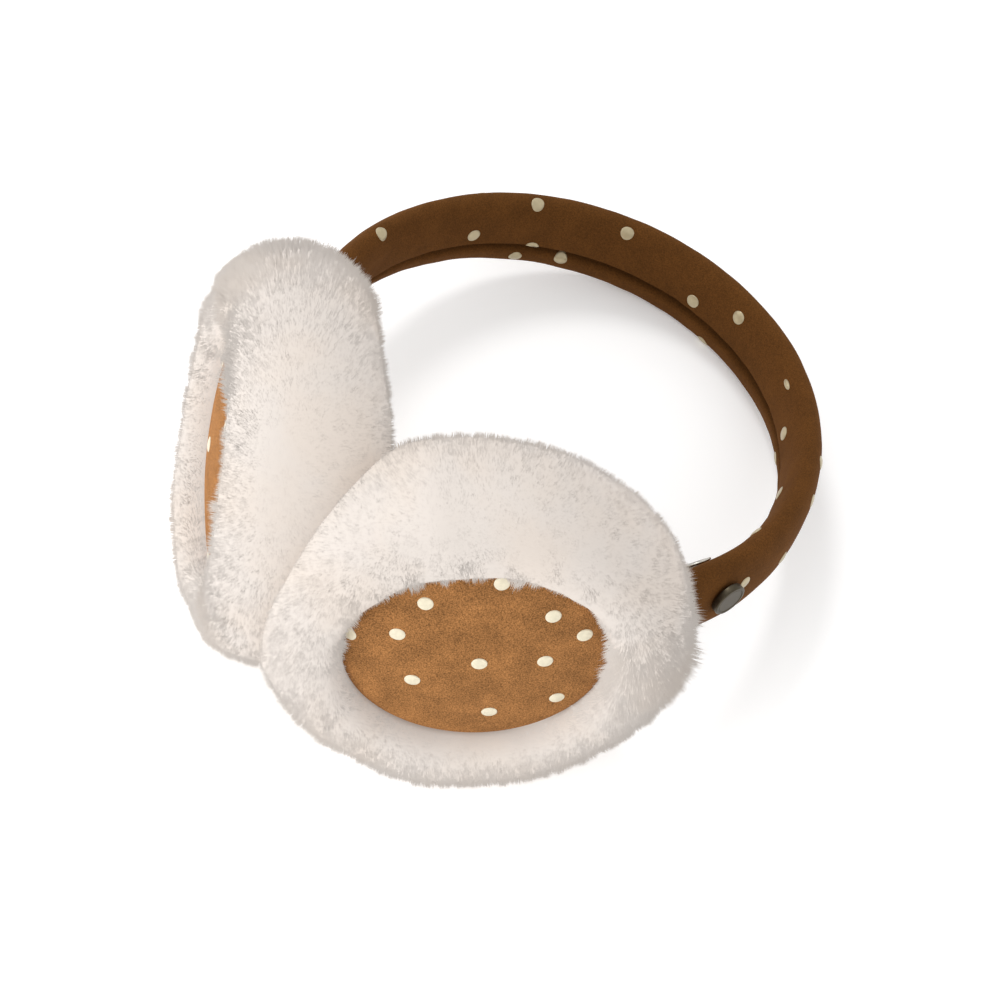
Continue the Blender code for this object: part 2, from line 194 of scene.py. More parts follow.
class EarmuffsStageSettings(PropertyGroup):
    """Camera, light and floor."""

    camera: FloatVectorProperty(
        name="Camera", description="Place of the camera", subtype="TRANSLATION",
        unit="LENGTH", default=(0.2834, -0.5135, 0.9152),
    )
    azimuth: angle_property("Azimuth", "Camera round the object", 28.69)
    elevation: angle_property("Elevation", "Camera over the horizon", 57.01)
    roll: angle_property("Roll", "Camera about its own line of sight", 15.21)
    lens: FloatProperty(name="Lens", description="Focal length in mm", default=140.6)
    floor: colour_property("Floor", "Colour of the floor", (250, 250, 250))
    floor_size: length_property("Floor Size", "Side of the floor", 8.0)
    sky: FloatProperty(name="Sky", description="Strength of the even light", default=0.91)
    front: FloatProperty(name="Front Light", description="Its power in watts", default=7.2)
    shade: FloatProperty(name="Shade Light", description="Its power in watts", default=4.5)
    fill: FloatProperty(name="Fill Light", description="Its power in watts", default=3.0)


# Numbers and noise


def hashed(cells, salt):
    """A repeatable number from 0 to 1 for each row of whole numbers."""
    mixed = cells.astype(np.int64) @ np.array([73856093, 19349663, 83492791], np.int64)
    mixed = (mixed ^ (salt * 2654435761)) & 0xFFFFFFFF
    for shift, factor in ((16, 0x45D9F3B), (15, 0x2C1B3C6D), (16, 0x297A2D39)):
        mixed = ((mixed ^ (mixed >> shift)) * factor) & 0xFFFFFFFF
    return (mixed & 0xFFFFFF) / 0xFFFFFF


def soft_noise(points, size, salt=0):
    """Smooth noise from -1 to 1 at each point, with features of about the given size."""
    scaled = np.asarray(points, float) / size
    corner = np.floor(scaled)
    share = scaled - corner
    share = share * share * (3.0 - 2.0 * share)
    total = np.zeros(len(scaled))
    for step in np.ndindex(2, 2, 2):
        weight = np.prod(np.where(step, share, 1.0 - share), axis=1)
        total += weight * hashed(corner + np.array(step), salt)
    return total * 2.0 - 1.0


def nearest_tuft(points, size, salt=0):
    """The middle of the tuft that each point belongs to, and the tuft's own number."""
    cell = np.floor(points / size)
    best = np.full(len(points), 1e9)
    middle = np.zeros_like(points)
    number = np.zeros(len(points))
    for step in np.ndindex(3, 3, 3):
        near = cell + np.array(step) - 1
        jitter = np.stack([hashed(near, salt + axis) for axis in (1, 2, 3)], axis=1)
        candidate = (near + jitter) * size
        distance = np.linalg.norm(candidate - points, axis=1)
        closer = distance < best
        best = np.where(closer, distance, best)
        middle[closer] = candidate[closer]
        number[closer] = hashed(near[closer], salt + 4)
    return middle, number


def unit(vectors):
    return vectors / np.maximum(np.linalg.norm(vectors, axis=-1, keepdims=True), 1e-9)


# Places taken from the frame


def node_points(name):
    return np.array([vert.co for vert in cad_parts[name].data.vertices], float)


def long_axes(points):
    """Directions of a cloud of points, the one it reaches least along first."""
    return np.linalg.eigh(np.cov((points - points.mean(axis=0)).T))[1]


def loop_place():
    """The band's loop: +X to the right ear, +Y to the crown, +Z out of its plane."""
    band = bpy.context.scene.earmuffs_band
    points = node_points("band_cover")
    up = long_axes(points)[:, 0]
    up = up * np.sign(up[2])
    side = np.array([1.0, 0.0, 0.0])
    turn = np.stack([side, np.cross(up, side), up], axis=1)
    local = points @ turn
    middle = (local.min(axis=0) + local.max(axis=0)) / 2
    middle[1] = local[:, 1].max() - band.crown_reach - band.thickness / 2
    place = np.eye(4)
    place[:3, :3] = turn
    place[:3, 3] = turn @ middle
    return place


def muff_place(side):
    """Middle of a muff: +X towards the band, +Y up and +Z out through its disc."""
    name = "right" if side > 0 else "left"
    muff = bpy.context.scene.earmuffs_muff
    trim = bpy.context.scene.earmuffs_trim
    points = node_points(name + "_muff_disc")
    out = long_axes(points)[:, 0]
    out = out * np.sign(out[0]) * side
    loop_up = loop_place()[:3, 2]
    up = unit(loop_up - out * (loop_up @ out))
    height = (points @ out).min() - (muff.cad_thickness / 2 - muff.recess - trim.disc_edge)
    middle = points.mean(axis=0)
    middle = middle + out * (height - middle @ out)
    place = np.eye(4)
    place[:3, :3] = np.stack([np.cross(up, out), up, out], axis=1)
    place[:3, 3] = middle
    return place


def moved(place, points):
    return points @ place[:3, :3].T + place[:3, 3]


def side_named(name):
    return 1 if name == "right" else -1


# Meshes


def deselect_all():
    if bpy.context.object and bpy.context.object.mode != "OBJECT":
        bpy.ops.object.mode_set(mode="OBJECT")
    bpy.ops.object.select_all(action="DESELECT")


def mesh_points(obj):
    points = np.empty(len(obj.data.vertices) * 3)
    obj.data.vertices.foreach_get("co", points)
    return points.reshape(-1, 3)


def set_points(obj, points):
    obj.data.vertices.foreach_set("co", np.asarray(points, np.float32).ravel())
    obj.data.update()


def tidy_mesh(obj, distance=0.00001, angle=40.0):
    """Weld what touches, turn the faces outwards and shade the round parts smooth."""
    deselect_all()
    obj.select_set(True)
    bpy.context.view_layer.objects.active = obj
    bpy.ops.object.mode_set(mode="EDIT")
    bpy.ops.mesh.select_all(action="SELECT")
    bpy.ops.mesh.remove_doubles(threshold=distance)
    bpy.ops.mesh.normals_make_consistent(inside=False)
    bpy.ops.object.mode_set(mode="OBJECT")
    bpy.ops.object.shade_smooth_by_angle(angle=math.radians(angle))


def named(obj, name):
    obj.name = name
    obj.data.name = name
    return obj


def hand_over(obj, material, slot, *nodes):
    """Finish a piece: its material, its body and the nodes that it stands for; the slot is not
    used.
    """
    obj.data.materials.clear()
    obj.data.materials.append(material)
    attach(obj, "root")
    if nodes:
        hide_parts(*nodes)
    return obj


# Headband


def loop_frames(angles):
    """Middle, forward and outward directions of the loop; past the bend it runs straight."""
    band = bpy.context.scene.earmuffs_band
    held = np.clip(angles, -band.bend_end, band.bend_end)
    middle = np.stack(
        [band.half_span * np.sin(held), band.crown_reach * np.cos(held), 0 * held], axis=1
    )
    forward = unit(np.stack(
        [band.half_span * np.cos(held), -band.crown_reach * np.sin(held), 0 * held], axis=1
    ))
    outward = np.stack([-forward[:, 1], forward[:, 0], 0 * held], axis=1)
    run = (angles - held) / tail_turn() * band.tail_length
    return middle + forward * run[:, None], forward, outward


def tail_turn():
    """Angle of the loop that stands for one straight tail."""
    band = bpy.context.scene.earmuffs_band
    return band.tail_length / ((band.half_span + band.crown_reach) / 2)


def tail_size(angles):
    """Share of the full section that the tapered tails keep."""
    band = bpy.context.scene.earmuffs_band
    share = np.clip((np.abs(angles) - band.bend_end) / tail_turn(), 0.0, 1.0)
    return 1.0 - (1.0 - band.tail_taper) * share


def section_point(turns):
    """Outward and up share of the plain padded section at angles round it."""
    band = bpy.context.scene.earmuffs_band
    power = 2.0 / band.roundness
    out = np.sign(np.cos(turns)) * np.abs(np.cos(turns)) ** power * band.thickness / 2
    up = np.sign(np.sin(turns)) * np.abs(np.sin(turns)) ** power * band.width / 2
    return out, up


def band_surface(angles, turns, lift=0.0):
    """Points on the band in the loop's own frame, with the crease and the soft ripples."""
    band = bpy.context.scene.earmuffs_band
    out, up = section_point(turns)
    middle, _, outward = loop_frames(angles)
    along = angles * (band.half_span + band.crown_reach) / 2
    ripple = soft_noise(np.stack([along, 2.2 * out, up], axis=1), 0.011, 5)
    ripple += 0.6 * soft_noise(np.stack([along, 2.2 * out, 1.5 * up], axis=1), 0.0045, 6)
    pucker = soft_noise(np.stack([along, 0 * along, 0 * along], axis=1), 0.0028, 7)
    inner = np.where(out < 0.0, 1.0, 0.0)
    off = up - band.crease_height
    over = np.exp(-(off / band.crease_over) ** 2)
    under = np.exp(-(off / band.crease_under) ** 2)
    pull = band.crease_depth * np.where(off > 0.0, over, under) * inner
    pull += band.step_back * np.where(off > 0.0, over, 1.0) * inner
    near_crease = np.exp(-(off / (2.0 * band.crease_under)) ** 2) * inner
    out = out + pull * (1.0 + 0.08 * pucker)
    puff = band.wrinkle * (ripple + 0.8 * pucker * near_crease) + lift
    normal = unit(np.stack(
        [np.cos(turns) / band.thickness, np.sin(turns) / band.width], axis=1
    ))
    size = tail_size(angles)
    out = (out + normal[:, 0] * puff) * size
    up = (up + normal[:, 1] * puff) * size
    return middle + outward * out[:, None] + np.array([0.0, 0.0, 1.0]) * up[:, None]


# How far painted shade darkens the suede in the crease above and below the seam, and how
# softly the padding gives way to the ground
SEAM_SHADE_REACH = (0.7 * MM, 1.6 * MM)
GIVE = 0.6 * MM


def settled(points):
    """The padding gives way smoothly where it would reach below the ground."""
    laid = points.copy()
    laid[:, 2] = (points[:, 2] + np.hypot(points[:, 2], GIVE)) / 2
    return laid


def add_band(name):
    """A ring of points spun round the loop, then drawn onto the padded band."""
    band = bpy.context.scene.earmuffs_band
    mean = (band.half_span + band.crown_reach) / 2
    reach = band.bend_end + tail_turn()
    deselect_all()
    bpy.ops.mesh.primitive_circle_add(
        vertices=120, radius=band.width / 2, fill_type="NGON",
        location=(0.0, mean, 0.0), rotation=(0.0, math.pi / 2, 0.0),
    )
    obj = named(bpy.context.object, name)
    bpy.ops.object.transform_apply()
    bpy.ops.object.mode_set(mode="EDIT")
    bpy.ops.mesh.select_all(action="SELECT")
    bpy.ops.transform.rotate(value=-reach, orient_axis="Z", center_override=(0.0, 0.0, 0.0))
    bpy.ops.mesh.spin(
        steps=250, angle=2.0 * reach, center=(0.0, 0.0, 0.0), axis=(0.0, 0.0, 1.0)
    )
    bpy.ops.object.mode_set(mode="OBJECT")
    points = mesh_points(obj)
    angles = np.arctan2(points[:, 0], points[:, 1])
    offset = np.hypot(points[:, 0], points[:, 1]) - mean
    turns = np.arctan2(points[:, 2], offset)
    set_points(obj, settled(moved(loop_place(), band_surface(angles, turns))))
    out, up = section_point(turns)
    off = up - band.crease_height
    # Painted shade: the inner face near the seam is marked so that the suede is darkened in the
    # crease.
    near = np.exp(-(off / np.where(off > 0.0, *SEAM_SHADE_REACH)) ** 2) * (out < 0.0)
    seam = obj.data.attributes.new("seam", "FLOAT", "POINT")
    seam.data.foreach_set("value", near.astype(np.float32))
    tidy_mesh(obj)
    return obj


class EARMUFFS_OT_band(Operator):
    """Add the padded suede headband"""

    bl_idname = "earmuffs.band"
    bl_label = "Headband"

    def execute(self, context):
        obj = add_band("suede_band")
        suede = suede_material("band_suede", context.scene.earmuffs_band.suede, 0.8)
        hand_over(obj, suede, "brown_suede", "band_cover")
        return {"FINISHED"}


# Suede discs


def disc_height(radius):
    """Height of a disc's face over its underside, at a distance from its middle."""
    trim = bpy.context.scene.earmuffs_trim
    share = np.clip(radius / trim.disc_radius, 0.0, 1.0)
    fall = np.clip((share - 0.90) / 0.10, 0.0, 1.0) ** 2
    return trim.disc_edge * (1.0 - 0.75 * fall) + trim.disc_dome * (1.0 - share ** 2)


def disc_underside(place, name):
    """Height of a disc's underside along its muff's own axis."""
    points = node_points(name + "_muff_disc")
    return ((points - place[:3, 3]) @ place[:3, 2]).min()


def add_disc(name):
    """A flat round, inset ring by ring and raised over its padding."""
    trim = bpy.context.scene.earmuffs_trim
    place = muff_place(side_named(name))
    under = disc_underside(place, name)
    deselect_all()
    bpy.ops.mesh.primitive_circle_add(vertices=128, radius=trim.disc_radius, fill_type="NGON")
    obj = named(bpy.context.object, name + "_suede_disc")
    bpy.ops.object.mode_set(mode="EDIT")
    bpy.ops.mesh.select_all(action="SELECT")
    bpy.ops.mesh.extrude_region_move(TRANSFORM_OT_translate={"value": (0.0, 0.0, trim.disc_edge)})
    rings = 26
    for _ in range(rings):
        bpy.ops.mesh.inset(thickness=trim.disc_radius / (rings + 1.0), depth=0.0)
    bpy.ops.mesh.merge(type="CENTER")
    bpy.ops.object.mode_set(mode="OBJECT")
    points = mesh_points(obj)
    face = points[:, 2] > trim.disc_edge / 2
    radius = np.hypot(points[:, 0], points[:, 1])
    points[:, 1] += trim.disc_lift
    wave = 0.00012 * soft_noise(points * np.array([1.0, 1.0, 0.0]), 0.012, 31)
    points[face, 2] = (disc_height(radius) + wave)[face]
    points[:, 2] += under
    set_points(obj, moved(place, points))
    tidy_mesh(obj, angle=60.0)
    return obj


class EARMUFFS_OT_discs(Operator):
    """Add the suede disc of each muff"""

    bl_idname = "earmuffs.discs"
    bl_label = "Suede Discs"

    def execute(self, context):
        suede = suede_material("disc_suede", context.scene.earmuffs_trim.disc_suede, 1.5)
        for name in ("left", "right"):
            hand_over(add_disc(name), suede, "tan_suede", name + "_muff_disc")
        return {"FINISHED"}


# Foil dots


def add_dot(dot_radius):
    """One foil dot round the origin, with a rounded edge and a thin skirt under it."""
    trim = bpy.context.scene.earmuffs_trim
    deselect_all()
    bpy.ops.mesh.primitive_cylinder_add(
        vertices=28, radius=dot_radius, depth=2.0 * trim.dot_thickness, end_fill_type="NGON"
    )
    obj = bpy.context.object
    bpy.ops.object.mode_set(mode="EDIT")
    bpy.ops.mesh.select_mode(type="FACE")
    for _ in range(2):
        bpy.ops.mesh.select_all(action="DESELECT")
        select_faces(obj, lambda centre, normal: normal.z > 0.9)
        bpy.ops.mesh.inset(thickness=trim.dot_thickness * 0.9, depth=0.0)
    bpy.ops.mesh.select_all(action="DESELECT")
    near = 0.0001 + trim.dot_thickness
    select_faces(obj, lambda centre, normal: normal.z > 0.9 and centre.length < near)
    bpy.ops.mesh.inset(thickness=dot_radius * 0.45, depth=0.0)
    bpy.ops.object.mode_set(mode="OBJECT")
    points = mesh_points(obj)
    radius = np.hypot(points[:, 0], points[:, 1])
    top = points[:, 2] > 0.0
    share = np.clip(radius / dot_radius, 0.0, 1.0)
    edge = np.sqrt(np.clip(1.0 - share ** 8, 0.05, 1.0))
    points[top, 2] = (trim.dot_thickness * edge + trim.dot_dome * (1.0 - share ** 2))[top]
    set_points(obj, points)
    return obj


def select_faces(obj, wanted):
    """In edit mode, also select each face whose middle and normal the test accepts."""
    mesh = bmesh.from_edit_mesh(obj.data)
    for face in mesh.faces:
        if wanted(face.calc_center_median(), face.normal):
            face.select_set(True)
    bmesh.update_edit_mesh(obj.data)


def scatter_dots(name, count, radius, lay):
    """Copies of the dot, each laid on its surface by the given function, joined as one piece."""
    dot = add_dot(radius)
    plain = mesh_points(dot)
    copies = []
    for number in range(count):
        copy = dot.copy()
        copy.data = dot.data.copy()
        bpy.context.scene.collection.objects.link(copy)
        dented = plain.copy()
        top = plain[:, 2] > 0.0
        dented[:, 2] += top * 0.00004 * soft_noise(plain + number, 0.0016, 41)
        set_points(copy, lay(number, dented))
        copies.append(copy)
    bpy.data.objects.remove(dot)
    deselect_all()
    for copy in copies:
        copy.select_set(True)
    bpy.context.view_layer.objects.active = copies[0]
    bpy.ops.object.join()
    obj = named(bpy.context.object, name)
    bpy.ops.object.shade_smooth_by_angle(angle=math.radians(50.0))
    return obj


def lay_on_band(number, points):
    """Wrap a dot's points on the band: across the dot along the loop and round the section."""
    degrees_along, degrees_round, shown = BAND_DOTS[number]
    angle, turn = math.radians(degrees_along), math.radians(degrees_round)
    points = points * np.array([1.0, shown, 1.0])
    turns = np.full(3, turn) + np.array([-0.01, 0.0, 0.01])
    around = band_surface(np.full(3, angle), turns)
    along = band_surface(np.array([angle - 0.01, angle, angle + 0.01]), np.full(3, turn))
    per_turn = np.linalg.norm(around[2] - around[0]) / 0.02
    per_angle = np.linalg.norm(along[2] - along[0]) / 0.02
    laid = band_surface(
        angle + points[:, 0] / per_angle, turn + points[:, 1] / per_turn, points[:, 2]
    )
    return settled(moved(loop_place(), laid))


def disc_dots(name, places):
    trim = bpy.context.scene.earmuffs_trim
    place = muff_place(side_named(name))
    under = disc_underside(place, name)

    def lay(number, points):
        laid = points.copy()
        laid[:, :2] += np.array(places[number]) / 1000
        radius = np.hypot(laid[:, 0], laid[:, 1])
        laid[:, 1] += trim.disc_lift
        laid[:, 2] += disc_height(radius) + under
        return moved(place, laid)

    return scatter_dots(name + "_disc_dots", len(places), trim.dot_radius, lay)


class EARMUFFS_OT_dots(Operator):
    """Add the scattered foil dots on the band and the discs"""

    bl_idname = "earmuffs.dots"
    bl_label = "Foil Dots"

    def execute(self, context):
        trim = context.scene.earmuffs_trim
        # The band's dots use a darker, greyer and more metallic copy of the discs' foil.
        darkened = foil_material("band_foil", trim.band_foil, 0.32, 0.55)
        dots = scatter_dots("band_dots", len(BAND_DOTS), trim.band_dot_radius, lay_on_band)
        hand_over(dots, darkened, "brown_suede")
        foil = foil_material("pale_foil", trim.foil, 0.45, 0.2)
        for name, places in (("left", LEFT_DISC_DOTS), ("right", RIGHT_DISC_DOTS)):
            hand_over(disc_dots(name, places), foil, "tan_suede")
        return {"FINISHED"}


# Snap


# From the eyelet's rim to its bore, in metres
EYELET_WALL = 0.0018


def snap_place(facing):
    """On the band's outer (1) or inner (-1) face at the snap, with +Z out of that face."""
    band = bpy.context.scene.earmuffs_band
    trim = bpy.context.scene.earmuffs_trim
    inner = facing < 0
    angle = trim.snap_angle + (trim.eyelet_shift if inner else 0.0)
    height = trim.snap_height + (trim.eyelet_lift if inner else 0.0)
    tilt = trim.eyelet_tilt if inner else 0.0
    middle, _, outward = (row[0] for row in loop_frames(np.array([angle])))
    share = (height / (band.width / 2)) ** band.roundness
    reach = band.thickness / 2 * (1.0 - share) ** (1.0 / band.roundness) + trim.clearance
    above = np.array([0.0, 0.0, 1.0])
    out = outward * facing
    normal = out * math.cos(tilt) + above * math.sin(tilt)
    up = above * math.cos(tilt) - out * math.sin(tilt)
    local = np.eye(4)
    local[:3, :3] = np.stack([np.cross(up, normal), up, normal], axis=1)
    local[:3, 3] = middle + out * reach + above * height
    return loop_place() @ local


def spun_profile(name, profile, steps=72):
    """A turned piece: an edge drawn through (radius, height) points and spun about +Z."""
    deselect_all()
    bpy.ops.mesh.primitive_plane_add(size=0.001)
    obj = named(bpy.context.object, name)
    bpy.ops.object.mode_set(mode="EDIT")
    bpy.ops.mesh.select_mode(type="VERT")
    bpy.ops.mesh.select_all(action="SELECT")
    bpy.ops.mesh.merge(type="CENTER")
    for here, after in zip(profile, profile[1:]):
        step = (after[0] - here[0], 0.0, after[1] - here[1])
        bpy.ops.mesh.extrude_region_move(TRANSFORM_OT_translate={"value": step})
    bpy.ops.mesh.select_all(action="SELECT")
    bpy.ops.transform.translate(value=(profile[0][0], 0.0, profile[0][1]))
    bpy.ops.mesh.spin(
        steps=steps, angle=2.0 * math.pi, center=(0.0, 0.0, 0.0), axis=(0.0, 0.0, 1.0)
    )
    bpy.ops.object.mode_set(mode="OBJECT")
    return obj


def arc(centre, radius, start, end, steps=6):
    """Points of an arc in a profile, from one angle to another in degrees."""
    turns = [math.radians(start + (end - start) * step / steps) for step in range(steps + 1)]
    return [(centre[0] + radius * math.cos(t), centre[1] + radius * math.sin(t)) for t in turns]


def button_profile():
    """Flat cap with a rounded shoulder, a fine groove round its face and a straight wall."""
    trim = bpy.context.scene.earmuffs_trim
    cap, high = trim.button_radius, trim.button_thickness
    edge, groove = 0.00045, 0.0010
    face = [(0.0, high - 0.00010), (cap - groove - 0.00025, high - 0.00010)]
    face += [(cap - groove - 0.0001, high - 0.00022), (cap - groove, high - 0.00022)]
    shoulder = [(cap - groove + 0.00018, high)] + arc((cap - edge, high - edge), edge, 90, 0)
    foot = arc((cap - edge / 2, edge / 2), edge / 2, 0, -90, 4)
    return face + shoulder + foot + [(0.0, 0.0)]


def eyelet_profile():
    """Flange on the suede, a narrow neck and a rolled rim round a deep bore."""
    trim = bpy.context.scene.earmuffs_trim
    rim, rise = trim.eyelet_radius, trim.eyelet_rise
    roll, neck, flange = 0.00035, rim - 0.0011, 0.0003
    bore = rim - EYELET_WALL - 0.0001
    profile = [(0.0, 0.0003), (bore, 0.0003), (bore, rise - roll)]
    profile += arc((rim - roll, rise - roll), roll, 110, -90, 8)
    profile += [(neck, rise - 2.0 * roll - 0.0001), (neck, flange + 0.0001)]
    return profile + [(rim - 0.0002, flange), (rim - 0.0001, 0.0), (0.0, 0.0)]


class EARMUFFS_OT_snap(Operator):
    """Add the snap's button and its eyelet"""

    bl_idname = "earmuffs.snap"
    bl_label = "Snap"

    def execute(self, context):
        trim = context.scene.earmuffs_trim
        gunmetal = metal_material("gunmetal", trim.gunmetal, 0.36)
        nickel = metal_material("nickel", trim.nickel, 0.22)
        for name, profile, facing, material, slot in (
            ("button", button_profile(), 1, gunmetal, "gunmetal"),
            ("eyelet", eyelet_profile(), -1, nickel, "nickel"),
        ):
            obj = spun_profile("snap_" + name + "_turned", profile)
            points = mesh_points(obj)
            if facing < 0:
                # The eyelet's bore is marked for the painted shade that darkens its metal.
                inside = np.hypot(points[:, 0], points[:, 1]) < trim.eyelet_radius - EYELET_WALL
                hollow = obj.data.attributes.new("hollow", "FLOAT", "POINT")
                hollow.data.foreach_set("value", inside.astype(np.float32))
            set_points(obj, moved(snap_place(facing), points))
            tidy_mesh(obj, distance=0.000002, angle=35.0)
            hand_over(obj, material, slot, "snap_" + name)
        return {"FINISHED"}


# Fur

# Each zone's strands have their roots between two shares of the skin's profile, which runs from
# the disc (0) round to the middle of the ear side (1). The wall beside the disc ends, the ear
# side starts, and strands stop leaning over the disc at the shares below.
FUR_ZONES = {"ring": (0.02, 0.27), "rim": (0.27, 0.60), "ear": (0.60, 1.0)}
WALL_END = 0.14
EAR_START = 0.65
OVER_DISC_END = 0.16
SALTS = {"left": 100, "right": 200}
# Roots lie this deep under the skin, and strands lean to the middles of tufts this wide
ROOT_DEPTH = 0.6 * MM
TUFT_SIZE = 3.0 * MM
# How far a muff's longer tuft reaches round its rim, in radians
TUFT_REACH = 0.30
# What tips keep clear of the ground and of the other muff, and roots also of the band
MEETING_GAP = 0.05 * MM
CLEAR_OF_BAND = 0.4 * MM


def ring_profile(shares):
    """Skin of an even muff as radius and height, from the disc (0) round to the ear side (1)."""
    muff = bpy.context.scene.earmuffs_muff
    half = muff.thickness / 2 - muff.pile
    rim = muff.radius - muff.pile
    low = muff.cad_thickness / 2 - muff.recess - 0.0015
    wall = np.clip(shares / WALL_END, 0.0, 1.0) * math.pi / 2
    bend = np.clip((shares - WALL_END) / (EAR_START - WALL_END), 0.0, 1.0) * math.pi
    flat = np.clip((shares - EAR_START) / (1.0 - EAR_START), 0.0, 1.0)
    radius = muff.crest + (rim - muff.crest) * np.sin(bend) ** 0.92
    height = half * np.cos(bend)
    first = shares < WALL_END
    radius = np.where(first, muff.crest - (muff.crest - muff.wall) * np.cos(wall), radius)
    height = np.where(first, low + (half - low) * np.sin(wall), height)
    last = shares > EAR_START
    dish = muff.dish * (0.5 - 0.5 * np.cos(math.pi * flat))
    radius = np.where(last, muff.crest * (1.0 - flat), radius)
    height = np.where(last, dish - half, height)
    return radius, height


def round_table(turns, values):
    """Smoothly read a table of values that are evenly spaced round a circle."""
    place = (turns / (2.0 * math.pi) * len(values)) % len(values)
    first = np.floor(place).astype(int) % len(values)
    share = place - np.floor(place)
    share = share * share * (3.0 - 2.0 * share)
    table = np.array(values)
    return table[first] * (1.0 - share) + table[(first + 1) % len(values)] * share


def formed_ring(turns, shares, name):
    """Skin of one muff with the form that its fur has settled into."""
    muff = bpy.context.scene.earmuffs_muff
    form = MUFF_FORMS[name]
    radius, height = ring_profile(shares)
    rim = muff.radius - muff.pile
    half = muff.thickness / 2 - muff.pile
    outer = np.clip((radius - muff.crest) / (rim - muff.crest), 0.0, 1.0)
    front = np.clip(height / half, 0.0, 1.0) * np.clip(shares / WALL_END, 0.0, 1.0)
    back = np.clip(-height / half, 0.0, 1.0)
    wall = 1.0 - np.clip(shares / WALL_END, 0.0, 1.0) ** 2
    radius = radius + MM * round_table(turns, form["rim"]) * outer
    radius = radius - MM * round_table(turns, form["wall"]) * wall
    height = height + MM * round_table(turns, form["crest"]) * front
    return radius, height - MM * round_table(turns, form["ear"]) * back


def fur_waves(turns, shares, salt):
    """Height of the soft petals and partings of the fur over its plain skin."""
    radius, height = ring_profile(shares)
    around = np.stack([radius * np.cos(turns), radius * np.sin(turns), height], axis=1)
    petals = 3.2 * np.stack([np.cos(turns), np.sin(turns), 0.9 * shares], axis=1)
    parting = 0.35 - np.abs(soft_noise(petals, 1.0, salt))
    bend = soft_noise(petals * 0.45, 1.0, salt + 3)
    swell = soft_noise(around, 0.021, salt + 1)
    tufts = soft_noise(around, 0.0075, salt + 2)
    fade = np.clip(radius / 0.030, 0.0, 1.0)
    return 0.0008 * parting * (1.0 + bend) * fade + 0.0007 * swell + 0.00010 * tufts


def skin_points(turns, shares, name, depth=0.0):
    """Points on the waved skin of a muff in its own frame."""
    step = 0.002
    before = np.stack(formed_ring(turns, np.clip(shares - step, 0.0, 1.0), name), axis=1)
    after = np.stack(formed_ring(turns, np.clip(shares + step, 0.0, 1.0), name), axis=1)
    run = unit(after - before)
    radius, height = formed_ring(turns, shares, name)
    rise = fur_waves(turns, shares, SALTS[name]) - depth
    radius = radius - run[:, 1] * rise
    height = height + run[:, 0] * rise
    return np.stack([radius * np.cos(turns), radius * np.sin(turns), height], axis=1)


def skin_normals(turns, shares, name):
    """Outward directions of the waved skin."""
    step_turn, step_share = 0.02, 0.006
    down = skin_points(turns, np.clip(shares + step_share, 0, 1), name)
    down -= skin_points(turns, np.clip(shares - step_share, 0, 1), name)
    along = skin_points(turns + step_turn, shares, name)
    along -= skin_points(turns - step_turn, shares, name)
    return unit(np.cross(down, along))


def pressed(points, side):
    """Fur gives way to the ground and to the other muff."""
    meeting = loop_place()[0, 3]
    laid = points.copy()
    laid[:, 2] = np.maximum(laid[:, 2], MEETING_GAP)
    reach = np.maximum((laid[:, 0] - meeting) * side, MEETING_GAP)
    laid[:, 0] = meeting + reach * side
    return laid


def add_skin(name):
    """The muff under its fur: a profile spun about the muff's axis, then waved and pressed."""
    side = side_named(name)
    shares = np.linspace(0.0, 1.0, 48)
    radius, height = ring_profile(shares)
    trim = bpy.context.scene.earmuffs_trim
    profile = [(0.0, height[0] - MM), (trim.disc_radius, height[0] - MM)]
    profile += [(float(r), float(h)) for r, h in zip(radius, height)]
    profile[-1] = (0.0, float(height[-1]))
    obj = spun_profile(name + "_muff_skin", profile, 132)
    points = mesh_points(obj)
    flat = np.hypot(points[:, 0], points[:, 1])
    turns = np.arctan2(points[:, 1], points[:, 0])
    table = np.stack([radius, height], axis=1)
    gap = np.abs(flat[:, None] - table[:, 0]) + np.abs(points[:, 2][:, None] - table[:, 1])
    row = gap.argmin(axis=1)
    on_skin = (gap.min(axis=1) < 1e-6) & (row < len(shares) - 1)
    muff = bpy.context.scene.earmuffs_muff
    rise = muff.pile - muff.plush
    points[on_skin] = skin_points(turns[on_skin], shares[row[on_skin]], name, -rise)
    set_points(obj, pressed(moved(muff_place(side), points), side))
    tidy_mesh(obj, distance=0.00002, angle=180.0)
    return obj


# A share of the section that stands for any place past the band's ends
FAR_OUTSIDE = 9.0


def in_band(points, grow):
    """Share of the band's section that each point lies at, below 1 inside it."""
    band = bpy.context.scene.earmuffs_band
    place = loop_place()
    local = (points - place[:3, 3]) @ place[:3, :3]
    angles = np.arctan2(local[:, 0] / band.half_span, local[:, 1] / band.crown_reach)
    side = np.sign(local[:, 0])
    end, forward, _ = loop_frames(side * band.bend_end)
    run = ((local - end) * forward * side[:, None]).sum(axis=1)
    tail = run > 0.0
    angles = np.where(tail, side * (band.bend_end + run / band.tail_length * tail_turn()), angles)
    middle, _, outward = loop_frames(angles)
    size = tail_size(angles)
    out = ((local - middle) * outward).sum(axis=1) / (band.thickness / 2 * size + grow)
    up = local[:, 2] / (band.width / 2 * size + grow)
    beyond = run > band.tail_length + grow
    return np.where(beyond, FAR_OUTSIDE, np.hypot(out, up))


def strand_roots(zone, count, dice):
    """Turns and shares of roots spread evenly over one zone of a muff's skin."""
    shares = np.linspace(zone[0], zone[1], 400)
    radius, height = ring_profile(shares)
    area = np.hypot(np.gradient(radius), np.gradient(height)) * radius
    total = np.cumsum(area)
    picks = np.interp(dice.random(count) * total[-1], total, shares)
    return dice.random(count) * 2.0 * math.pi, picks


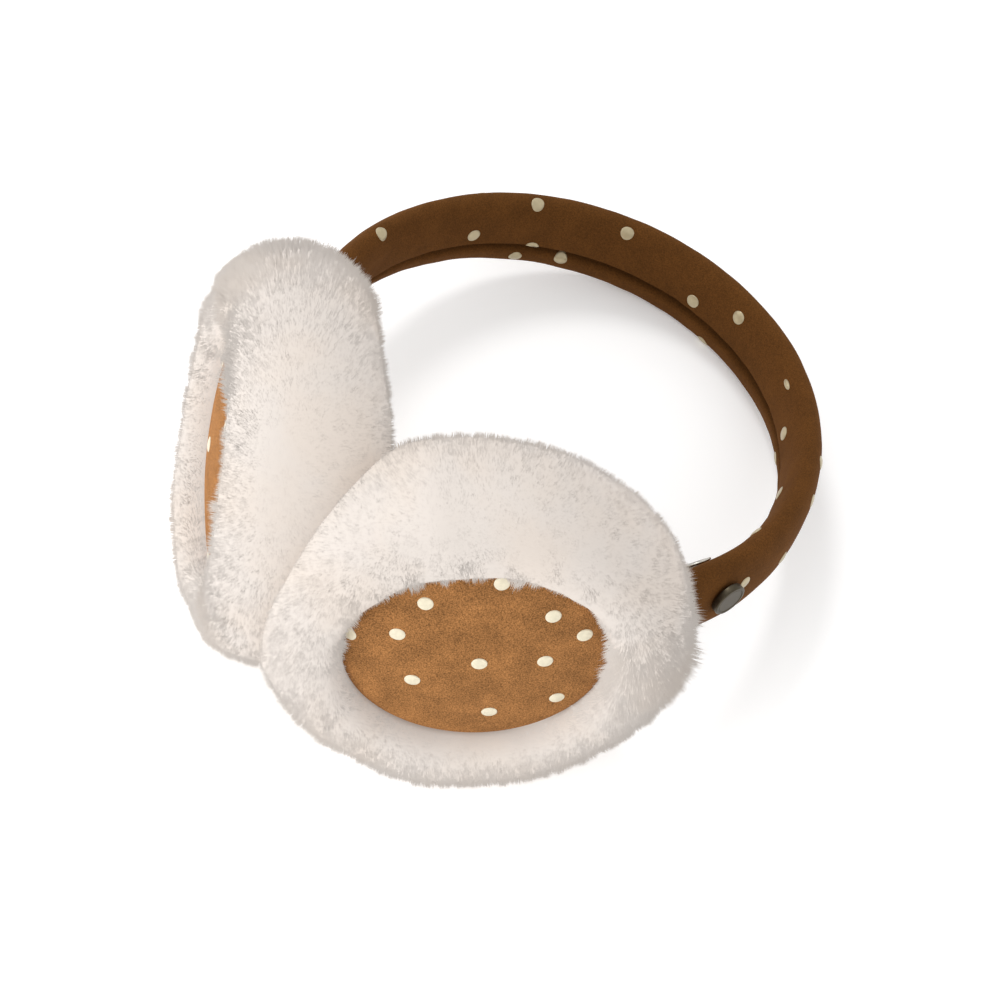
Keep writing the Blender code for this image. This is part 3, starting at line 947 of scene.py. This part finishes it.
def strand_lengths(name, root, turns, picks, number, straggle, dice):
    """Uneven lengths: straggling beside the disc and on the crest, longer in the muff's tuft."""
    muff = bpy.context.scene.earmuffs_muff
    upper = np.sin(turns)
    over_disc = np.clip((OVER_DISC_END - picks) / OVER_DISC_END, 0.0, 1.0)
    beside = 0.72 - 0.27 * upper + 0.65 * (1.0 + upper) * straggle ** 2
    own = dice.random(len(root)) - 0.5
    length = muff.pile * (0.92 + 0.30 * (number - 0.5) + 0.30 * own) + ROOT_DEPTH
    length = length * (1.0 + over_disc * (beside - 1.0))
    crest = np.exp(-((picks - 0.13) / 0.06) ** 2) * (0.5 + 0.5 * upper)
    length = length * (1.0 + crest * (1.3 * straggle ** 2 - 0.35))
    middle_turn, longer = MUFF_FORMS[name]["tuft"]
    beyond = np.angle(np.exp(1j * (turns - math.radians(middle_turn))))
    locks = soft_noise(root, 2.2 * MM, SALTS[name] + 31) ** 2
    ragged = 0.15 + 1.1 * locks + 0.3 * dice.random(len(root))
    in_tuft = np.exp(-(beyond / TUFT_REACH) ** 2) * (picks < EAR_START)
    return length + MM * longer * in_tuft * ragged


def strand_field(name, zone, count):
    """Roots, tips, shading directions and tints of the strands in one zone of a muff."""
    side, salt = side_named(name), SALTS[name]
    dice = np.random.default_rng(salt + int(1000 * zone[0]))
    turns, picks = strand_roots(zone, count, dice)
    root = skin_points(turns, picks, name, ROOT_DEPTH)
    normal = skin_normals(turns, picks, name)
    middle, number = nearest_tuft(root, TUFT_SIZE, salt)
    pull = middle - root
    pull -= normal * (pull * normal).sum(axis=1, keepdims=True)
    loose = unit(dice.normal(size=(count, 3)))
    comb = np.stack([soft_noise(root, 15 * MM, salt + 11 + axis) for axis in range(3)], axis=1)
    radial = np.stack([np.cos(turns), np.sin(turns), 0 * turns], axis=1)
    over_disc = np.clip((OVER_DISC_END - picks) / OVER_DISC_END, 0.0, 1.0)
    straggle = 0.5 + 0.5 * soft_noise(root, 3.8 * MM, salt + 21)
    length = strand_lengths(name, root, turns, picks, number, straggle, dice)
    lean = 0.22 * comb + 0.15 * loose + (0.10 - 0.35 * over_disc * straggle)[:, None] * radial
    soft = unit(normal + 0.05 * comb + 0.02 * loose + 0.5 * over_disc[:, None] * [0.0, 0.0, 1.0])
    place = muff_place(side)
    turn = place[:3, :3].T
    root = moved(place, root)
    normal, soft, lean, pull = (field @ turn for field in (normal, soft, lean, pull))
    by_band = np.clip(2.5 * (1.0 - in_band(root, 4.5 * MM)), 0.0, 1.0) * (0.3 + 0.7 * straggle)
    lean += 1.3 * by_band[:, None] * leaving_band(side)
    length = length * (1.0 + 0.55 * by_band)
    direction = unit(normal + lean - normal * (lean * normal).sum(axis=1, keepdims=True))
    tip = root + direction * length[:, None] + 0.25 * pull
    keep = (in_band(root, CLEAR_OF_BAND) > 1.0) & (root[:, 2] > CLEAR_OF_BAND)
    keep &= (root[:, 0] - loop_place()[0, 3]) * side > CLEAR_OF_BAND
    tip = pressed(clear_of_band(tip), side)
    return root[keep], tip[keep], soft[keep], (0.5 * number + 0.5 * dice.random(count))[keep]


def leaving_band(side):
    """Direction in which the band comes out of a muff."""
    band = bpy.context.scene.earmuffs_band
    _, forward, _ = loop_frames(np.array([side * band.bend_end]))
    return loop_place()[:3, :3] @ (-side * forward[0])


def clear_of_band(points):
    """Tips that would end inside the band are lifted to lie on it."""
    band = bpy.context.scene.earmuffs_band
    place = loop_place()
    share = in_band(points, CLEAR_OF_BAND)
    inside = share < 1.0
    local = (points - place[:3, 3]) @ place[:3, :3]
    side = np.sign(local[:, 0])
    middle, _, _ = loop_frames(side * band.bend_end)
    away = local - middle
    lifted = local + unit(away * np.array([1.0, 1.0, 0.6])) * ((1.0 - share) * 0.004)[:, None]
    local[inside] = lifted[inside]
    return moved(place, local)


def strand_mesh(name, roots, tips, softs, tints, width):
    """One closed, tapered, three-sided strand from each root to its tip, all in one mesh."""
    count = len(roots)
    run = unit(tips - roots)
    across = unit(np.cross(run, softs + np.array([0.013, 0.007, 0.011])))
    other = np.cross(run, across)
    ring = []
    for turn in (0.0, 2.0 * math.pi / 3, 4.0 * math.pi / 3):
        ring.append(roots + (across * math.cos(turn) + other * math.sin(turn)) * width / 2)
    corners = np.stack([*ring, tips], axis=1).reshape(-1, 3)
    pattern = np.array([[0, 1, 3], [1, 2, 3], [2, 0, 3], [0, 2, 1]])
    faces = (pattern[None] + 4 * np.arange(count)[:, None, None]).reshape(-1)
    mesh = bpy.data.meshes.new(name)
    mesh.vertices.add(len(corners))
    mesh.vertices.foreach_set("co", corners.astype(np.float32).ravel())
    mesh.loops.add(len(faces))
    mesh.loops.foreach_set("vertex_index", faces.astype(np.int32))
    mesh.polygons.add(len(faces) // 3)
    mesh.polygons.foreach_set("loop_start", np.arange(0, len(faces), 3, dtype=np.int32))
    mesh.update(calc_edges=True)
    grown = mesh.attributes.new("strand_share", "FLOAT", "POINT")
    grown.data.foreach_set("value", np.tile([0.0, 0.0, 0.0, 1.0], count).astype(np.float32))
    tint = mesh.attributes.new("strand_tint", "FLOAT", "POINT")
    tint.data.foreach_set("value", np.repeat(tints, 4).astype(np.float32))
    mesh.shade_smooth()
    mesh.normals_split_custom_set_from_vertices(np.repeat(softs, 4, axis=0).astype(np.float32))
    obj = bpy.data.objects.new(name, mesh)
    bpy.context.scene.collection.objects.link(obj)
    return obj


class EARMUFFS_OT_fur(Operator):
    """Add each muff's skin and the strands of its fur"""

    bl_idname = "earmuffs.fur"
    bl_label = "Sheepskin Fur"

    def execute(self, context):
        muff = context.scene.earmuffs_muff
        skin = fur_material("fur_skin", muff.fur, muff.warm, False)
        strands = fur_material("fur_strands", muff.fur, muff.warm, True)
        for name in ("left", "right"):
            core = add_skin(name)
            hand_over(core, skin, "sheepskin_fur", name + "_muff_fur")
            for zone, reach in FUR_ZONES.items():
                field = strand_field(name, reach, getattr(muff, zone + "_strands"))
                obj = strand_mesh(name + "_fur_" + zone, *field, muff.strand_width)
                obj.visible_shadow = False
                obj.visible_diffuse = False
                hand_over(obj, strands, "sheepskin_fur")
        return {"FINISHED"}


# Materials

# Share of the fur's colour that it gives off itself as a painted glow, though it is no lamp, and
# the share that it takes from the lamps, and how much paler than the suede its sheen is
FUR_PAINTED_GLOW, FUR_LIT = 0.38, 0.75
SHEEN_OVER_SUEDE = 2.2


def add_node(tree, kind, links=(), **values):
    """A node with its properties and plain inputs set, and links made into it."""
    node = tree.nodes.new(kind)
    for key, value in values.items():
        if key in node.inputs:
            node.inputs[key].default_value = value
        else:
            setattr(node, key, value)
    for source, target in links:
        tree.links.new(source, node.inputs[target])
    return node


def noise(tree, scale, detail=2.0, rough=0.5):
    """Noise in the object's own place; its scale is a number or another node's output."""
    place = add_node(tree, "ShaderNodeTexCoord").outputs["Object"]
    node = add_node(
        tree, "ShaderNodeTexNoise", [(place, "Vector")], Detail=detail, Roughness=rough
    )
    fill(tree, node.inputs["Scale"], scale)
    return node.outputs["Fac"]


def attribute(tree, name):
    return add_node(tree, "ShaderNodeAttribute", attribute_name=name).outputs["Fac"]


def fill(tree, socket, value):
    """Give a socket a link from another one, or a plain value."""
    if isinstance(value, bpy.types.NodeSocket):
        tree.links.new(value, socket)
    else:
        socket.default_value = value


def ramp(tree, factor, *stops):
    """Greys at places from 0 to 1, read by a factor."""
    node = add_node(tree, "ShaderNodeValToRGB", [(factor, "Fac")])
    for element, (place, grey) in zip(node.color_ramp.elements, stops):
        element.position = place
        element.color = (grey, grey, grey, 1.0)
    return node.outputs["Color"]


def times(tree, first, second):
    """Product of two colours, each a socket or a plain value."""
    node = add_node(tree, "ShaderNodeVectorMath", operation="MULTIPLY")
    fill(tree, node.inputs[0], first)
    fill(tree, node.inputs[1], second)
    return node.outputs["Vector"]


def spread(tree, source, before, after):
    """A value that runs between the two numbers of before, made to run between those of after."""
    node = add_node(tree, "ShaderNodeMapRange", [(source, "Value")])
    for label, value in zip(("From Min", "From Max", "To Min", "To Max"), (*before, *after)):
        node.inputs[label].default_value = value
    return node.outputs["Result"]


def add_bump(tree, shader, height, strength, distance):
    bump = add_node(
        tree, "ShaderNodeBump", [(height, "Height")], Strength=strength, Distance=distance
    )
    tree.links.new(bump.outputs["Normal"], shader.inputs["Normal"])


def nap_group():
    """Shade and height of a suede's nap: a fine grain and brushed patches."""
    if "nap" in bpy.data.node_groups:
        return bpy.data.node_groups["nap"]
    group = bpy.data.node_groups.new("nap", "ShaderNodeTree")
    for label, scale in (("Grain", 2600.0), ("Patch", 130.0)):
        socket = group.interface.new_socket(
            label, in_out="INPUT", socket_type="NodeSocketFloat"
        )
        socket.default_value = scale
    for label in ("Shade", "Height"):
        group.interface.new_socket(label, in_out="OUTPUT", socket_type="NodeSocketFloat")
    come = group.nodes.new("NodeGroupInput")
    go = group.nodes.new("NodeGroupOutput")
    grain = noise(group, come.outputs["Grain"], 3.0, 0.6)
    patch = noise(group, come.outputs["Patch"], 3.0, 0.55)
    both = add_node(group, "ShaderNodeMath", operation="MULTIPLY")
    group.links.new(spread(group, grain, (0.32, 0.68), (0.62, 1.38)), both.inputs[0])
    group.links.new(spread(group, patch, (0.3, 0.7), (0.86, 1.14)), both.inputs[1])
    group.links.new(both.outputs["Value"], go.inputs["Shade"])
    group.links.new(grain, go.inputs["Height"])
    return group


def new_material(name, **values):
    """A material, its node tree and its shader with the given plain inputs."""
    material = bpy.data.materials.new(name)
    material.use_nodes = True
    shader = material.node_tree.nodes["Principled BSDF"]
    for key, value in values.items():
        shader.inputs[key.replace("_", " ")].default_value = value
    return material, material.node_tree, shader


def suede_material(name, suede, contrast):
    """Brushed suede, with painted shade darkening it in the crease along the seam."""
    material, tree, shader = new_material(
        name, Roughness=0.95, Sheen_Weight=0.3, Sheen_Roughness=0.5, Specular_IOR_Level=0.1,
        Sheen_Tint=(*[min(1.0, SHEEN_OVER_SUEDE * part) for part in suede[:3]], 1.0),
    )
    nap = add_node(tree, "ShaderNodeGroup", node_tree=nap_group())
    swing = (1.0 - 0.5 * contrast, 1.0 + 0.5 * contrast)
    shade = spread(tree, nap.outputs["Shade"], (0.5, 1.5), swing)
    # Painted shade: the suede in the crease along the seam is darkened to 0.55 of its colour.
    seam_shade = ramp(tree, attribute(tree, "seam"), (0.0, 1.0), (1.0, 0.55))
    darkened = times(tree, times(tree, shade, suede[:3]), seam_shade)
    tree.links.new(darkened, shader.inputs["Base Color"])
    add_bump(tree, shader, nap.outputs["Height"], 0.35, 0.00015)
    return material


def foil_material(name, foil, roughness, metallic):
    """Pale foil with a fine crinkle."""
    material, tree, shader = new_material(name, Roughness=roughness, Metallic=metallic)
    crinkle = noise(tree, 700.0)
    tone = ramp(tree, crinkle, (0.3, 0.86), (0.7, 1.0))
    tree.links.new(times(tree, foil[:3], tone), shader.inputs["Base Color"])
    add_bump(tree, shader, crinkle, 0.3, 0.0001)
    return material


def metal_material(name, metal, roughness):
    """Metal with a little wear, and painted shade that makes its hollow nearly black."""
    material, tree, shader = new_material(name, Metallic=1.0)
    wear = noise(tree, 900.0, 4.0)
    tone = times(tree, metal[:3], ramp(tree, wear, (0.3, 0.8), (0.7, 1.0)))
    # Painted shade: the eyelet's bore is darkened to nearly black.
    hollow_shade = ramp(tree, attribute(tree, "hollow"), (0.0, 1.0), (1.0, 0.02))
    tree.links.new(times(tree, tone, hollow_shade), shader.inputs["Base Color"])
    rough = spread(tree, wear, (0.0, 1.0), (roughness - 0.06, roughness + 0.10))
    tree.links.new(rough, shader.inputs["Roughness"])
    return material


def fur_material(name, fur, warm, strands):
    """Cream fur with warmer patches and a painted glow of its own colour, and strands that pale
    towards their tips.
    """
    material, tree, shader = new_material(
        name, Roughness=0.9, Specular_IOR_Level=0.05, Emission_Strength=FUR_PAINTED_GLOW
    )
    material.cycles.use_bump_map_correction = False
    mixed = add_node(tree, "ShaderNodeMix", data_type="RGBA")
    tree.links.new(ramp(tree, noise(tree, 42.0, 3.0), (0.42, 0.0), (0.62, 1.0)), mixed.inputs[0])
    colours = [socket for socket in mixed.inputs if socket.type == "RGBA"]
    for socket, tint in zip(colours, (fur, warm)):
        socket.default_value = (*tint[:3], 1.0)
    result = [socket for socket in mixed.outputs if socket.type == "RGBA"][0]
    if strands:
        deep = ramp(tree, attribute(tree, "strand_share"), (0.0, 0.97), (0.8, 1.0))
        own = ramp(tree, attribute(tree, "strand_tint"), (0.0, 0.975), (1.0, 1.0))
        result = times(tree, result, times(tree, deep, own))
    tree.links.new(times(tree, result, (FUR_LIT,) * 3), shader.inputs["Base Color"])
    # Painted light: the skin and the strands glow with their own colour.
    tree.links.new(result, shader.inputs["Emission Color"])
    return material


def floor_material(floor):
    """A pale floor that glows a little, so that it stays nearly white."""
    material, tree, shader = new_material(
        "pale_floor", Roughness=0.9, Specular_IOR_Level=0.0,
        Emission_Color=(1.0, 1.0, 1.0, 1.0), Emission_Strength=0.16,
    )
    tone = ramp(tree, noise(tree, 6.0), (0.0, 0.995), (1.0, 1.0))
    tree.links.new(times(tree, floor[:3], tone), shader.inputs["Base Color"])
    return material


# Stage

# The camera's sensor, in millimetres
SENSOR_WIDTH = 36.0


def aimed(obj, target):
    obj.rotation_euler = (Vector(target) - obj.location).to_track_quat("-Z", "Y").to_euler()


def add_light(name, place, size, watts):
    """A round soft light aimed at the object."""
    deselect_all()
    bpy.ops.object.light_add(type="AREA", location=place)
    light = bpy.context.object
    light.name = name
    light.data.shape = "DISK"
    light.data.size = size
    light.data.energy = watts
    aimed(light, (0.0, 0.0, 0.03))
    return light


class EARMUFFS_OT_stage(Operator):
    """Add the camera, the lights and the floor"""

    bl_idname = "earmuffs.stage"
    bl_label = "Stage"

    def execute(self, context):
        stage = context.scene.earmuffs_stage
        deselect_all()
        bpy.ops.mesh.primitive_plane_add(size=stage.floor_size, location=(0.0, 0.0, 0.0))
        floor = named(context.object, "floor")
        floor.data.materials.append(floor_material(stage.floor))
        bpy.ops.object.camera_add(location=stage.camera)
        camera = context.object
        back = Vector((
            math.sin(stage.azimuth) * math.cos(stage.elevation),
            -math.cos(stage.azimuth) * math.cos(stage.elevation),
            math.sin(stage.elevation),
        ))
        level = (-back).to_track_quat("-Z", "Y").to_matrix()
        camera.rotation_euler = (level @ Matrix.Rotation(stage.roll, 3, "Z")).to_euler()
        camera.data.lens = stage.lens
        camera.data.sensor_width = SENSOR_WIDTH
        camera.data.clip_start = 0.01
        context.scene.camera = camera
        world = bpy.data.worlds.new("studio")
        world.use_nodes = True
        world.node_tree.nodes["Background"].inputs["Strength"].default_value = stage.sky
        world.node_tree.nodes["Background"].inputs["Color"].default_value = (1.0, 1.0, 1.0, 1.0)
        context.scene.world = world
        add_light("front_light", (-0.2, -1.15, 0.46), 0.8, stage.front)
        add_light("fill_light", (-1.15, -0.6, 0.3), 1.0, stage.fill)
        add_light("shade_light", (-0.75, 0.4, 1.1), 0.35, stage.shade)
        context.scene.view_settings.view_transform = "Standard"
        return {"FINISHED"}


class EARMUFFS_PT_panel(Panel):
    """Lists the pieces of the earmuffs"""

    bl_label = "Fur Earmuffs"
    bl_space_type = "VIEW_3D"
    bl_region_type = "UI"
    bl_category = "Earmuffs"

    def draw(self, context):
        for operator in OPERATORS:
            self.layout.operator(operator.bl_idname)
        for group in SETTINGS:
            settings = getattr(context.scene, group)
            for key in settings.bl_rna.properties.keys():
                if key not in ("rna_type", "name"):
                    self.layout.prop(settings, key)


SETTINGS = {
    "earmuffs_band": EarmuffsBandSettings,
    "earmuffs_muff": EarmuffsMuffSettings,
    "earmuffs_trim": EarmuffsTrimSettings,
    "earmuffs_stage": EarmuffsStageSettings,
}
OPERATORS = (
    EARMUFFS_OT_stage,
    EARMUFFS_OT_band,
    EARMUFFS_OT_discs,
    EARMUFFS_OT_dots,
    EARMUFFS_OT_snap,
    EARMUFFS_OT_fur,
)


def register():
    for cls in (*SETTINGS.values(), *OPERATORS, EARMUFFS_PT_panel):
        bpy.utils.register_class(cls)
    for name, cls in SETTINGS.items():
        setattr(bpy.types.Scene, name, PointerProperty(type=cls))


def unregister():
    for name in SETTINGS:
        delattr(bpy.types.Scene, name)
    for cls in (EARMUFFS_PT_panel, *reversed(OPERATORS), *reversed(SETTINGS.values())):
        bpy.utils.unregister_class(cls)


def main():
    register()
    bpy.ops.earmuffs.stage()
    bpy.ops.earmuffs.band()
    bpy.ops.earmuffs.discs()
    bpy.ops.earmuffs.dots()
    bpy.ops.earmuffs.snap()
    bpy.ops.earmuffs.fur()


if __name__ == "__main__":
    main()
